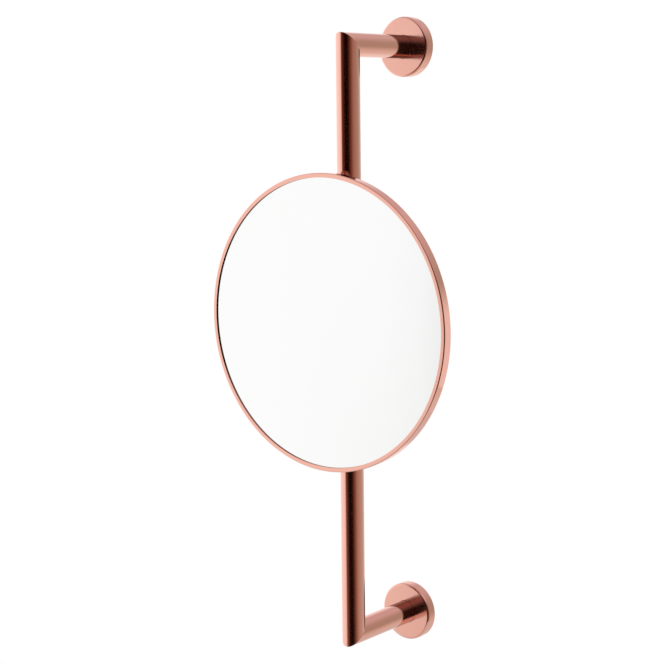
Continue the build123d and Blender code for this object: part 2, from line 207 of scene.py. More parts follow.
def hex_socket(place, direction, across, depth):
    """The hollow of a hexagon socket, to be cut out: it opens at this place."""
    corner = across / math.sqrt(3)
    socket = turned_piece("socket", [(corner, -depth), (corner, depth)], segments=6)
    return lay(socket, place, direction)


def soften(piece, width, segments=3, angle=35):
    """Rounds every edge sharper than this angle in degrees."""
    bevel = piece.modifiers.new("Soften", "BEVEL")
    bevel.width = width
    bevel.segments = segments
    bevel.limit_method = "ANGLE"
    bevel.angle_limit = math.radians(angle)
    apply_modifiers(piece)


def spoke(length, degrees, axis):
    """The end of an arm of this length along X, turned about an axis."""
    return Matrix.Rotation(math.radians(degrees), 3, axis) @ Vector((length, 0, 0))


def tongue(name, radius, width, length):
    """A bar that lies across X with its round end about the origin: it runs along Y by its length."""
    bpy.ops.object.select_all(action="DESELECT")
    bpy.ops.mesh.primitive_cylinder_add(vertices=96, radius=radius, depth=width)
    piece = name_piece(bpy.context.object, name)
    lay(piece, (0, 0, 0), TO_RIGHT)
    way = math.copysign(1, length)
    select_edges(piece, lambda place: place.y * way > -NEAR)
    bpy.ops.transform.translate(value=(0, length, 0))
    bpy.ops.object.mode_set(mode="OBJECT")
    return piece


def finish_piece(piece, body, slot, material, *nodes):
    """Smooths a piece, gives it its material and puts it in place of the CAD nodes it stands for."""
    take(piece)
    bpy.ops.object.shade_smooth_by_angle(angle=SHARP_ANGLE)
    weighted = piece.modifiers.new("Weighted Normal", "WEIGHTED_NORMAL")
    weighted.keep_sharp = True
    apply_modifiers(piece)
    piece.data.materials.clear()
    piece.data.materials.append(material)
    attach(piece, body)
    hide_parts(*nodes)
    return piece


def dress_node(node, material):
    """Gives a CAD node its material through its own material slots."""
    for material_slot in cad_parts[node].material_slots:
        material_slot.material = material


# Shader helpers, with the numbers of a colour Mix node's sockets and the usual range of noise
MIX_FIRST, MIX_SECOND, MIX_RESULT = 6, 7, 2
NOISE_LOW, NOISE_HIGH = 0.3, 0.7


def add_node(tree, kind, inputs=None, **settings):
    """Adds a shader node, sets its properties, and sets or links its inputs by name or number."""
    node = tree.nodes.new(kind)
    for key, value in settings.items():
        setattr(node, key, value)
    for key, value in (inputs or {}).items():
        if isinstance(value, bpy.types.NodeSocket):
            tree.links.new(value, node.inputs[key])
        else:
            node.inputs[key].default_value = value
    return node


def new_material(name):
    """An empty material: its node tree and its Principled shader."""
    made = bpy.data.materials.new(name)
    made.use_nodes = True
    tree = made.node_tree
    tree.nodes.clear()
    surface = add_node(tree, "ShaderNodeBsdfPrincipled")
    add_node(tree, "ShaderNodeOutputMaterial", {"Surface": surface.outputs["BSDF"]})
    return made, tree, surface


def noise(tree, grain):
    """Noise over a piece's own coordinates, with features about this many millimetres across."""
    coordinates = add_node(tree, "ShaderNodeTexCoord")
    inputs = {"Vector": coordinates.outputs["Object"], "Scale": 1000 / grain, "Detail": 2.0}
    return add_node(tree, "ShaderNodeTexNoise", inputs).outputs["Fac"]


def between(tree, factor, low, high):
    """A value that runs from low to high as the noise runs over its usual range."""
    inputs = {
        "Value": factor, "From Min": NOISE_LOW, "From Max": NOISE_HIGH, "To Min": low, "To Max": high
    }
    return add_node(tree, "ShaderNodeMapRange", inputs).outputs["Result"]


def mixed(tree, factor, first, second):
    """The first colour where the factor is 0 and the second where it is 1."""
    inputs = {"Factor": factor, MIX_FIRST: first, MIX_SECOND: second}
    return add_node(tree, "ShaderNodeMix", inputs, data_type="RGBA").outputs[MIX_RESULT]


def relief(tree, surface, factor, depth):
    """A fine bump, this many millimetres deep."""
    inputs = {"Height": factor, "Distance": mm(depth), "Strength": 1.0}
    bump = add_node(tree, "ShaderNodeBump", inputs)
    tree.links.new(bump.outputs["Normal"], surface.inputs["Normal"])


def metal(name, colour, shade, smoothest, roughest, grain, depth):
    """A metal whose roughness and colour vary a little over patches of this grain."""
    made, tree, surface = new_material(name)
    patches = noise(tree, grain)
    surface.inputs["Metallic"].default_value = 1.0
    tree.links.new(mixed(tree, patches, linear(colour), linear(shade)), surface.inputs["Base Color"])
    tree.links.new(between(tree, patches, smoothest, roughest), surface.inputs["Roughness"])
    if depth:
        relief(tree, surface, noise(tree, grain / 8), depth)
    return made


def plastic(name, colour, shade, smoothest, roughest, grain, depth, ior):
    """A plastic or rubber whose roughness and colour vary a little."""
    made, tree, surface = new_material(name)
    patches = noise(tree, grain)
    surface.inputs["IOR"].default_value = ior
    tree.links.new(mixed(tree, patches, linear(colour), linear(shade)), surface.inputs["Base Color"])
    tree.links.new(between(tree, patches, smoothest, roughest), surface.inputs["Roughness"])
    relief(tree, surface, noise(tree, grain / 4), depth)
    return made


def named_material(name):
    """A material by its name, made the first time it is asked for."""
    if name not in bpy.data.materials:
        MATERIALS[name](name, bpy.context.scene.rail_mirror_colours)
    return bpy.data.materials[name]


# Rose-copper electroplated over polished brass: soft-edged reflections with a pink cast
def polished_copper(name, colours):
    smoothest = colours.copper_roughness - 0.01
    roughest = colours.copper_roughness + 0.01
    return metal(name, colours.copper, colours.copper_shade, smoothest, roughest, grain=40, depth=0)


# The same plating on the spun roses, whose flat faces are polished less: blurred reflections
def spun_copper(name, colours):
    return metal(
        name, colours.copper, colours.copper_shade, smoothest=0.14, roughest=0.16, grain=40, depth=0
    )


# Silvered float glass: the flat silver layer gives a clear, nearly white reflection
def silvered_glass(name, colours):
    return metal(
        name, colours.silver, colours.silver, smoothest=0.0, roughest=0.004, grain=60, depth=0
    )


# Zinc-plated steel: a soft grey sheen with cloudy patches
def zinc_steel(name, colours):
    return metal(name, "#BDBEC2", "#A9ABB0", smoothest=0.26, roughest=0.4, grain=6, depth=0.004)


# Turned brass without plating: yellow and slightly dulled
def turned_brass(name, colours):
    return metal(name, "#D9B36A", "#C49A4F", smoothest=0.2, roughest=0.32, grain=4, depth=0.003)


# Natural nylon, moulded: off-white with a silky sheen
def natural_nylon(name, colours):
    return plastic(
        name, colours.nylon, "#E4E1D8", smoothest=0.32, roughest=0.42, grain=5, depth=0.004, ior=1.53
    )


# Black rubber ring: matt
def black_rubber(name, colours):
    return plastic(
        name, "#161616", "#202020", smoothest=0.6, roughest=0.75, grain=2, depth=0.01, ior=1.52
    )


# Dense foam board behind the glass: dull grey
def foam_board(name, colours):
    return plastic(
        name, "#5E5C5A", "#6C6A67", smoothest=0.85, roughest=0.95, grain=2, depth=0.03, ior=1.49
    )


MATERIALS = {
    "polished_copper": polished_copper,
    "spun_copper": spun_copper,
    "silvered_glass": silvered_glass,
    "zinc_steel": zinc_steel,
    "turned_brass": turned_brass,
    "natural_nylon": natural_nylon,
    "black_rubber": black_rubber,
    "foam_board": foam_board,
}


def colour_prop(name, description, default):
    """A text property that holds an sRGB colour such as "#F2B0A0"."""
    return bpy.props.StringProperty(name=name, description=description, default=default)


def length_prop(name, description, default):
    """A length property, in metres."""
    return bpy.props.FloatProperty(
        name=name, description=description, default=default, min=0, unit="LENGTH", subtype="DISTANCE"
    )


class RailMirrorSizes(bpy.types.PropertyGroup):
    """Small sizes of the polished pieces that a user may want to change."""

    tube_wall: length_prop("Tube wall", "Wall thickness of rail and arms", mm(1.5))
    mitre_round: length_prop("Mitre rounding", "Rounding of the edges at the mitred corners", mm(0.15))
    rose_round: length_prop("Rose rounding", "Rounding of the roses' front edge", mm(2))
    ring_round: length_prop("Ring rounding", "Rounding of the casing ring's edges", mm(0.9))
    bezel_width: length_prop("Bezel width", "Width of the ring's flat face round the glass", mm(3.7))
    glass_arris: length_prop("Glass arris", "Ground edge of the glass", mm(0.3))
    handled_round: length_prop("Handled edges", "Rounding of the slider's and knob's edges", mm(0.3))


class RailMirrorColours(bpy.types.PropertyGroup):
    """Colours of the main finishes, in sRGB."""

    copper: colour_prop("Copper", "Rose-copper plating", "#F6BDAD")
    copper_shade: colour_prop("Copper shade", "Its slightly deeper patches", "#F4B7A6")
    copper_roughness: bpy.props.FloatProperty(
        name="Copper roughness", description="Roughness of the polished plating", default=0.085,
        min=0.02, max=1, subtype="FACTOR"
    )
    silver: colour_prop("Silver", "Reflection of the silvered glass", "#FCFDFC")
    nylon: colour_prop("Nylon", "Bushes, washers and brake pad", "#EEECE4")


class RailMirrorStage(bpy.types.PropertyGroup):
    """The stage round the object."""

    floor_depth: length_prop("Floor depth", "Distance of the floor below the object's middle", 1.0)
    floor_radius: length_prop("Floor radius", "Radius of the round floor", 1.2)
    reflector_glow: bpy.props.FloatProperty(
        name="Reflector glow", description="Brightness of the white card beside the mirror",
        default=0.88, min=0
    )
    focal_length: bpy.props.FloatProperty(
        name="Focal length", description="Of the camera's lens, in millimetres", default=85.49, min=1
    )


class MirrorOperator(bpy.types.Operator):
    """What every operator of this add-on shares."""

    bl_options = {"REGISTER", "UNDO"}


def mitred_tube(name, start, end, low_mitre=None, high_mitre=None):
    """A straight tube between two places, cut by a plane at either end: (place, normal outwards)."""
    sizes = bpy.context.scene.rail_mirror_sizes
    run = Vector(end) - Vector(start)
    bpy.ops.object.select_all(action="DESELECT")
    bpy.ops.mesh.primitive_cylinder_add(
        vertices=512, radius=TUBE_RADIUS, depth=run.length, end_fill_type="NOTHING"
    )
    piece = name_piece(bpy.context.object, name)
    direction = run.to_track_quat("Z", "Y").to_matrix().to_4x4()
    lay(piece, (Vector(start) + Vector(end)) / 2, direction)
    wall = piece.modifiers.new("Wall", "SOLIDIFY")
    wall.thickness = sizes.tube_wall
    wall.offset = -1
    apply_modifiers(piece)
    for place, normal in filter(None, (low_mitre, high_mitre)):
        place, normal = Vector(place), Vector(normal).normalized()
        bpy.ops.object.mode_set(mode="EDIT")
        bpy.ops.mesh.select_all(action="SELECT")
        bpy.ops.mesh.bisect(plane_co=place, plane_no=normal, clear_outer=True)
        bpy.ops.object.mode_set(mode="OBJECT")
        select_edges(piece, lambda point: abs((point - place).dot(normal)) < NEAR_PLANE)
        bpy.ops.mesh.bridge_edge_loops()
        bpy.ops.object.mode_set(mode="OBJECT")
    take(piece)
    bpy.ops.object.mode_set(mode="EDIT")
    bpy.ops.mesh.select_all(action="SELECT")
    bpy.ops.mesh.normals_make_consistent(inside=False)
    bpy.ops.object.mode_set(mode="OBJECT")
    soften(piece, sizes.mitre_round, segments=2)
    return piece


class RAILMIRROR_OT_tubes(MirrorOperator):
    """Builds the rail and the two arms, mitred where they meet"""

    bl_idname = "rail_mirror.tubes"
    bl_label = "Rail and arms"

    def execute(self, context):
        spare = 1.5 * TUBE_RADIUS
        grub_hole = mm(2.05)
        grub_distance = mm(15.5)
        copper = named_material("polished_copper")
        top = (0, RAIL_Y, ARM_HEIGHT)
        bottom = (0, RAIL_Y, -ARM_HEIGHT)
        rail = mitred_tube(
            "rail", (0, RAIL_Y, -ARM_HEIGHT - spare), (0, RAIL_Y, ARM_HEIGHT + spare),
            (bottom, (0, 1, -1)), (top, (0, 1, 1))
        )
        finish_piece(rail, "wall_frame", "copper", copper, "rail_tube")
        for side, height, sign in (("upper", ARM_HEIGHT, 1), ("lower", -ARM_HEIGHT, -1)):
            wall_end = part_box(f"{side}_arm")[1].y
            arm = mitred_tube(
                f"{side}_arm_tube", (0, wall_end, height), (0, RAIL_Y - spare, height),
                ((0, RAIL_Y, height), (0, -1, -sign))
            )
            hole = turned_piece("hole", [(grub_hole, 0), (grub_hole, 2 * TUBE_RADIUS)], segments=48)
            lay(hole, (0, -grub_distance, height - 2 * TUBE_RADIUS))
            combine(arm, [hole], "DIFFERENCE")
            finish_piece(arm, "wall_frame", "copper", copper, f"{side}_arm")
        return {"FINISHED"}


class RAILMIRROR_OT_roses(MirrorOperator):
    """Builds the two round wall roses as hollow cups with a collar inside"""

    bl_idname = "rail_mirror.roses"
    bl_label = "Wall roses"

    def execute(self, context):
        sizes = context.scene.rail_mirror_sizes
        radius = (rose_high.x - rose_low.x) / 2
        depth = rose_high.y - rose_low.y
        skin = mm(1.2)
        arm_clearance = mm(0.1)
        collar_wall = mm(3)
        collar_length = mm(3.8)
        groove = mm(1.6)
        small_round = mm(0.2)
        hole = TUBE_RADIUS + arm_clearance
        floor = depth - skin
        collar_foot = floor - collar_length
        groove_top = floor - (collar_length - groove) / 2
        groove_foot = groove_top - groove
        profile = [
            (radius, 0), (radius, depth), (hole, depth), (hole, groove_top), (hole + groove, groove_top),
            (hole + groove, groove_foot), (hole, groove_foot), (hole, collar_foot),
            (hole + collar_wall, collar_foot), (hole + collar_wall, floor), (radius - skin, floor),
            (radius - skin, 0), (radius, 0),
        ]
        for side, sign in (("upper", 1), ("lower", -1)):
            rose = turned_piece(f"{side}_rose_cup", profile, closed=True, segments=256)
            bevel_ring(rose, radius, depth, sizes.rose_round, segments=8)
            bevel_ring(rose, hole, depth, small_round, segments=3)
            bevel_ring(rose, radius, 0, small_round, segments=3)
            lay(rose, (0, 0, sign * ARM_HEIGHT), TO_ROOM)
            finish_piece(rose, "wall_frame", "copper", named_material("spun_copper"), f"{side}_rose")
        return {"FINISHED"}


class RAILMIRROR_OT_casing(MirrorOperator):
    """Builds the mirror's casing ring and its pressed back cover"""

    bl_idname = "rail_mirror.casing"
    bl_label = "Casing ring and back cover"

    def execute(self, context):
        sizes = context.scene.rail_mirror_sizes
        copper = named_material("polished_copper")
        centre = (0, 0, SLIDER_HEIGHT)
        ring_wall = mm(1.2)
        rolled_width = mm(2.4)
        cover_skin = mm(1.2)
        radius = (ring_high.x - ring_low.x) / 2
        front, back = -ring_low.y, -ring_high.y
        glass_front = -glass_low.y
        cover_back = -cover_high.y
        bore = radius - ring_wall
        bezel_bore = radius - sizes.bezel_width
        rolled_bore = radius - rolled_width
        ring = turned_piece("casing_ring", [
            (radius, back), (radius, front), (bezel_bore, front), (bezel_bore, glass_front),
            (bore, glass_front), (bore, cover_back), (rolled_bore, cover_back), (rolled_bore, back),
            (radius, back),
        ], closed=True, segments=512)
        bevel_ring(ring, radius, front, sizes.ring_round, segments=8)
        bevel_ring(ring, radius, back, sizes.ring_round, segments=8)
        bevel_ring(ring, bezel_bore, front, width=mm(0.12), segments=3)
        bevel_ring(ring, rolled_bore, back, width=mm(0.3), segments=3)
        lay(ring, centre, TO_ROOM)
        finish_piece(ring, "mirror_head", "copper", copper, "bezel_ring")
        cover_radius = (cover_high.x - cover_low.x) / 2
        cover = turned_piece("pressed_cover", [
            (cover_radius - cover_skin, cover_back + cover_skin),
            (cover_radius - cover_skin, -glass_high.y),
            (cover_radius, -glass_high.y), (cover_radius, cover_back),
        ], segments=384)
        bevel_ring(cover, cover_radius, cover_back, width=mm(0.5), segments=4)
        lay(cover, centre, TO_ROOM)
        finish_piece(cover, "mirror_head", "copper", copper, "back_cover")
        return {"FINISHED"}


class RAILMIRROR_OT_glass(MirrorOperator):
    """Builds the flat round glass with its ground arris"""

    bl_idname = "rail_mirror.glass"
    bl_label = "Mirror glass"

    def execute(self, context):
        sizes = context.scene.rail_mirror_sizes
        radius = (glass_high.x - glass_low.x) / 2
        front, back = -glass_low.y, -glass_high.y
        glass = turned_piece("round_glass", [(radius, back), (radius, front)], segments=384)
        bevel_ring(glass, radius, front, sizes.glass_arris, segments=2)
        bevel_ring(glass, radius, back, sizes.glass_arris, segments=2)
        lay(glass, (0, 0, SLIDER_HEIGHT), TO_ROOM)
        finish_piece(glass, "mirror_head", "mirror", named_material("silvered_glass"), "mirror_glass")
        return {"FINISHED"}


class RAILMIRROR_OT_slider(MirrorOperator):
    """Builds the slider's sleeve with its fork in front and its clamp boss behind"""

    bl_idname = "rail_mirror.slider"
    bl_label = "Slider sleeve"

    def execute(self, context):
        radius = (sleeve_high.x - sleeve_low.x) / 2
        half = (sleeve_high.z - sleeve_low.z) / 2
        pivot_reach = RAIL_Y - PIVOT_Y
        boss_radius = mm(7)
        boss_reach = sleeve_high.y - RAIL_Y
        ear_radius = PIVOT_Y - sleeve_low.y
        ear_width = mm(3.5)
        ear_length = mm(10.5)
        ear_middle = mm(6.25)
        sleeve = turned_piece("slider_body", [(radius, -half), (radius, half)])
        boss = turned_piece("boss", [(boss_radius, 0), (boss_radius, boss_reach)], segments=96)
        lay(boss, (0, 0, 0), TO_WALL)
        ears = []
        for side in (1, -1):
            ear = tongue("ear", ear_radius, ear_width, ear_length)
            ears.append(lay(ear, (side * ear_middle, -pivot_reach, 0)))
        combine(sleeve, [boss, *ears], "UNION")
        seat = mm(12.1)
        seat_foot = mm(7)
        relief_bore = mm(10.8)
        bore = turned_piece("bore", [
            (seat, -2 * half), (seat, -seat_foot), (relief_bore, -seat_foot),
            (relief_bore, seat_foot), (seat, seat_foot), (seat, 2 * half),
        ])
        clamp_bore = self.clamp_bore()
        pin_hole = turned_piece("pin_hole", [(PIN_HOLE, -radius), (PIN_HOLE, radius)], segments=64)
        lay(pin_hole, (0, -pivot_reach, 0), TO_RIGHT)
        combine(sleeve, [bore, clamp_bore, pin_hole], "DIFFERENCE")
        soften(sleeve, context.scene.rail_mirror_sizes.handled_round)
        lay(sleeve, RAIL_BEHIND_MIRROR)
        copper = named_material("polished_copper")
        finish_piece(sleeve, "slider", "copper", copper, "slider_sleeve")
        return {"FINISHED"}

    def clamp_bore(self):
        """The boss's stepped bore for pad, screw and knob neck, with the snap ring's groove."""
        pad_bore, pad_end = mm(4.05), mm(14.1)
        screw_bore, screw_end = mm(3.04), mm(16.9)
        neck_bore, neck_end = mm(5.3), mm(30)
        groove_radius, groove_start, groove_end = mm(5.85), mm(18.9), mm(20.1)
        bore = turned_piece("clamp_bore", [
            (pad_bore, 0), (pad_bore, pad_end), (screw_bore, pad_end), (screw_bore, screw_end),
            (neck_bore, screw_end), (neck_bore, groove_start), (groove_radius, groove_start),
            (groove_radius, groove_end), (neck_bore, groove_end), (neck_bore, neck_end),
        ], segments=96)
        return lay(bore, (0, 0, 0), TO_WALL)


class RAILMIRROR_OT_bushes(MirrorOperator):
    """Builds the two flanged bushes that run on the rail"""

    bl_idname = "rail_mirror.bushes"
    bl_label = "Glide bushes"

    def execute(self, context):
        bore, radius, flange = mm(10.05), mm(12.05), mm(13.65)
        sleeve_end, seat_foot, outer = mm(20), mm(7), mm(21.5)
        running_gap = mm(0.03)
        shoulder = sleeve_end + running_gap
        inner = seat_foot + running_gap
        for side, end in (("upper", 1), ("lower", -1)):
            profile = [
                (bore, inner), (radius, inner), (radius, shoulder), (flange, shoulder),
                (flange, outer), (bore, outer), (bore, inner),
            ]
            bush = turned_piece(f"{side}_bush", [(r, end * z) for r, z in profile], closed=True)
            bevel_ring(bush, flange, end * outer, width=mm(0.3), segments=3)
            bevel_ring(bush, bore, end * outer, width=mm(0.4), segments=3)
            lay(bush, RAIL_BEHIND_MIRROR)
            finish_piece(bush, "glides", "nylon", named_material("natural_nylon"), f"{side}_glide_bush")
        return {"FINISHED"}


class RAILMIRROR_OT_tilt_joint(MirrorOperator):
    """Builds the pin, nut and washers of the fork"""

    bl_idname = "rail_mirror.tilt_joint"
    bl_label = "Tilt pin, nut and washers"

    def execute(self, context):
        fork_side = mm(8)
        nut_end = fork_side + mm(3)
        copper = named_material("polished_copper")
        finish_piece(self.pin(fork_side, nut_end), "slider", "copper", copper, "tilt_pin")
        finish_piece(self.nut(fork_side, nut_end), "slider", "copper", copper, "tilt_nut")
        nylon = named_material("natural_nylon")
        finish_piece(self.washers(), "slider", "nylon", nylon, "tilt_washers")
        return {"FINISHED"}

    def pin(self, fork_side, nut_end):
        """The pin, with a socket head on the left of the fork and its end past the nut."""
        radius, head_radius = mm(2), mm(3.6)
        head_end = -fork_side - mm(1.8)
        pin_end = nut_end + mm(0.8)
        pin = turned_piece("fork_pin", [
            (head_radius, head_end), (head_radius, -fork_side), (radius, -fork_side), (radius, pin_end),
        ], segments=64)
        bevel_ring(pin, head_radius, head_end, width=mm(0.8), segments=4)
        bevel_ring(pin, radius, pin_end, width=mm(0.4), segments=2)
        socket = hex_socket((0, 0, head_end), UPRIGHT, across=mm(2), depth=mm(1.1))
        combine(pin, [socket], "DIFFERENCE")
        return lay(pin, PIVOT, TO_RIGHT)

    def nut(self, fork_side, nut_end):
        """The hexagon nut on the right of the fork."""
        half_across = mm(3.5)
        corner = half_across / math.cos(math.radians(30))
        nut = turned_piece("fork_nut", [(corner, fork_side), (corner, nut_end)], segments=6)
        hole = turned_piece("hole", [(PIN_HOLE, 0), (PIN_HOLE, 2 * nut_end)], segments=64)
        combine(nut, [hole], "DIFFERENCE")
        soften(nut, width=mm(0.25))
        return lay(nut, PIVOT, TO_RIGHT)

    def washers(self):
        """The two washers between the eye and the ears."""
        radius, thickness, eye_side = mm(4.4), mm(0.5), mm(4)
        washers = []
        for start in (eye_side, -eye_side - thickness):
            end = start + thickness
            washers.append(turned_piece("washer", [
                (PIN_HOLE, start), (radius, start), (radius, end), (PIN_HOLE, end), (PIN_HOLE, start),
            ], closed=True, segments=64))
        return lay(merge(washers, "fork_washers"), PIVOT, TO_RIGHT)


class RAILMIRROR_OT_hub(MirrorOperator):
    """Builds the hub plate with its eye on the mirror's back, and its four screws"""

    bl_idname = "rail_mirror.hub"
    bl_label = "Hub plate and screws"

    def execute(self, context):
        copper = named_material("polished_copper")
        front = RAIL_Y - hub_low.y
        back = front - mm(2.4)
        plate = self.plate(front, back)
        soften(plate, context.scene.rail_mirror_sizes.handled_round)
        lay(plate, RAIL_BEHIND_MIRROR)
        finish_piece(plate, "mirror_head", "copper", copper, "hub_plate")
        finish_piece(self.screws(front, back), "mirror_head", "copper", copper, "hub_screws")
        return {"FINISHED"}

    def plate(self, front, back):
        """The round plate with the eye that stands between the ears."""
        radius = (hub_high.x - hub_low.x) / 2
        pivot_reach = RAIL_Y - PIVOT_Y
        eye_radius, eye_width, eye_sink = mm(4.7), mm(8), mm(1.2)
        plate = turned_piece("hub_disc", [(radius, back), (radius, front)], segments=192)
        bevel_ring(plate, radius, back, width=mm(0.7))
        lay(plate, (0, 0, 0), TO_ROOM)
        eye = tongue("eye", eye_radius, eye_width, pivot_reach - back - eye_sink)
        lay(eye, (0, -pivot_reach, 0))
        combine(plate, [eye], "UNION")
        hole = turned_piece("hole", [(PIN_HOLE, -radius), (PIN_HOLE, radius)], segments=64)
        lay(hole, (0, -pivot_reach, 0), TO_RIGHT)
        combine(plate, [hole], "DIFFERENCE")
        return plate

    def screws(self, front, back):
        """The four socket screws that hold the plate to the casing."""
        shank_radius, head_radius, circle_radius = mm(1.5), mm(2.8), mm(18)
        shank_end = -front - mm(3.6)
        head_end = -back + mm(1.6)
        screws = []
        for turn in (45, 135, 225, 315):
            screw = turned_piece("screw", [
                (shank_radius, shank_end), (shank_radius, -back), (head_radius, -back),
                (head_radius, head_end),
            ], segments=48)
            bevel_ring(screw, head_radius, head_end, width=mm(0.7), segments=4)
            socket = hex_socket((0, 0, head_end), UPRIGHT, across=mm(2), depth=mm(1))
            combine(screw, [socket], "DIFFERENCE")
            place = Vector(RAIL_BEHIND_MIRROR) + spoke(circle_radius, turn, "Y")
            screws.append(lay(screw, place, TO_WALL))
        return merge(screws, "hub_screw_set")


class RAILMIRROR_OT_knob(MirrorOperator):
    """Builds the fluted clamp knob with its neck and blind bore"""

    bl_idname = "rail_mirror.knob"
    bl_label = "Clamp knob"

    def execute(self, context):
        radius = mm(11)
        length = knob_high.y - knob_low.y
        shoulder = mm(5.1)
        neck = mm(5.2)
        bore, bore_end = mm(3.04), mm(14.8)
        groove_radius, groove_start, groove_end = mm(4.65), mm(1.95), mm(3.05)
        flute_count, flute_radius, flute_reach = 8, mm(2.6), mm(12.6)
        knob = turned_piece("fluted_knob", [
            (bore, bore_end), (bore, 0), (neck, 0), (neck, groove_start),
            (groove_radius, groove_start), (groove_radius, groove_end), (neck, groove_end),
            (neck, shoulder), (radius, shoulder), (radius, length),
        ], segments=192)
        bevel_ring(knob, radius, length, width=mm(1.2), segments=6)
        bevel_ring(knob, radius, shoulder, width=mm(0.4), segments=3)
        flutes = []
        for index in range(flute_count):
            flute = turned_piece("flute", [
                (flute_radius, shoulder - mm(1)), (flute_radius, 2 * length),
            ], segments=64)
            flutes.append(lay(flute, spoke(flute_reach, 360 * index / flute_count, "Z")))
        combine(knob, [merge(flutes, "flutes")], "DIFFERENCE")
        soften(knob, width=mm(0.2), segments=2)
        lay(knob, (0, knob_low.y, SLIDER_HEIGHT), TO_WALL)
        finish_piece(knob, "clamp", "copper", named_material("polished_copper"), "clamp_knob")
        return {"FINISHED"}


class RAILMIRROR_OT_fixings(MirrorOperator):
    """Dresses the hidden fixings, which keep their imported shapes, in their materials"""

    bl_idname = "rail_mirror.fixings"
    bl_label = "Hidden fixings"

    def execute(self, context):
        for name, nodes in FIXINGS.items():
            for node in nodes:
                dress_node(node, named_material(name))
        return {"FINISHED"}


FIXINGS = {
    "zinc_steel": (
        "upper_wall_plate", "lower_wall_plate", "arm_grub_screws", "clamp_screw", "knob_snap_ring",
        "nut_plate",
    ),
    "turned_brass": ("upper_arm_insert", "lower_arm_insert"),
    "black_rubber": ("rose_grip_rings",),
    "natural_nylon": ("brake_pad",),
    "foam_board": ("backing_board",),
}


class RAILMIRROR_OT_stage(MirrorOperator):
    """Sets the pale floor, the reflector card, the studio round them and the camera"""

    bl_idname = "rail_mirror.stage"
    bl_label = "Stage"

    def execute(self, context):
        scene = context.scene
        stage = scene.rail_mirror_stage
        add_floor(stage)
        add_reflector(stage)
        studio_world(scene)
        camera = bpy.data.objects.new("camera", bpy.data.cameras.new("camera"))
        scene.collection.objects.link(camera)
        camera.data.lens = stage.focal_length
        camera.matrix_world = camera_matrix()
        scene.camera = camera
        scene.view_settings.view_transform = "Standard"
        return {"FINISHED"}


def add_floor(stage):
    """Lays the plain round floor, well below the object."""
    bpy.ops.object.select_all(action="DESELECT")
    bpy.ops.mesh.primitive_circle_add(
        vertices=96, radius=stage.floor_radius, fill_type="NGON", location=(0, 0, -stage.floor_depth)
    )
    floor = name_piece(bpy.context.object, "stage_floor")
    paper, _, surface = new_material("stage_paper")
    surface.inputs["Base Color"].default_value = linear("#F4F3F1")
    surface.inputs["Roughness"].default_value = 0.9
    floor.data.materials.append(paper)


def add_reflector(stage):
    """Hangs the white card that the casing ring's side reflects. It fades out towards its top."""
    card_width, card_height, fade_height = mm(140), mm(250), mm(90)
    card_top = card_height / 2
    card_place = (mm(235), mm(15), 0)
    facing_mirror = Matrix.Rotation(math.radians(-40), 4, "Z") @ TO_ROOM
    bpy.ops.object.select_all(action="DESELECT")
    bpy.ops.mesh.primitive_plane_add(size=1)
    card = name_piece(bpy.context.object, "stage_reflector")
    bpy.ops.transform.resize(value=(card_width, card_height, 1))
    bpy.ops.object.transform_apply(location=True, rotation=True, scale=True)
    lay(card, card_place, facing_mirror)
    white, tree, surface = new_material("stage_white_card")
    surface.inputs["Base Color"].default_value = linear("#000000")
    surface.inputs["Emission Color"].default_value = linear("#FFFFFF")
    surface.inputs["Emission Strength"].default_value = stage.reflector_glow
    coordinates = add_node(tree, "ShaderNodeTexCoord")
    parts = add_node(tree, "ShaderNodeSeparateXYZ", {0: coordinates.outputs["Object"]})
    fade = height_blend(tree, parts.outputs["Z"], card_top, card_top - fade_height)
    tree.links.new(fade, surface.inputs["Alpha"])
    card.data.materials.append(white)
    card.visible_camera = False
    card.visible_diffuse = False
    card.visible_shadow = False


# The camera's place in metres, and its turns in degrees
CAMERA_PLACE = (0.83581, -1.11389, 0.19393)
CAMERA_YAW = 39.74
CAMERA_PITCH = -7.82
CAMERA_ROLL = -0.69


def camera_matrix():
    """The camera's place and turn: yaw about Z, pitch from the level, then roll."""
    yaw = Matrix.Rotation(math.radians(CAMERA_YAW), 4, "Z")
    pitch = Matrix.Rotation(math.radians(90 + CAMERA_PITCH), 4, "X")
    roll = Matrix.Rotation(math.radians(CAMERA_ROLL), 4, "Z")
    return Matrix.Translation(CAMERA_PLACE) @ yaw @ pitch @ roll


# What the polished metal reflects at eye level, by the direction's angle from the room's middle
# towards the right: a large white panel on the left that is brightest in its middle, darkness in
# front and a dim wall on the right
LEVEL_CARDS = [
    (-180, (0.72, 0.74, 0.7)),
    (-173, (0.62, 0.56, 0.53)),
    (-160, (0.62, 0.56, 0.54)),
    (-150, (0.9, 0.9, 0.9)),
    (-140, (1.0, 1.0, 1.0)),
    (-125, (1.15, 1.15, 1.15)),
    (-70, (1.15, 1.15, 1.15)),
    (-50, (1.0, 1.0, 1.0)),
    (-37, (0.98, 0.98, 0.98)),
    (-35.5, (0.88, 0.88, 0.88)),
    (-28, (0.26, 0.12, 0.09)),
    (-18, (0.12, 0.035, 0.02)),
    (5, (0.015, 0.0, 0.0)),
    (24, (0.0, 0.0, 0.0)),
    (40, (0.024, 0.003, 0.0)),
    (62, (0.155, 0.06, 0.035)),
    (90, (0.37, 0.24, 0.19)),
    (124, (0.42, 0.35, 0.3)),
    (155, (0.48, 0.46, 0.4)),
    (180, (0.72, 0.74, 0.7)),
]
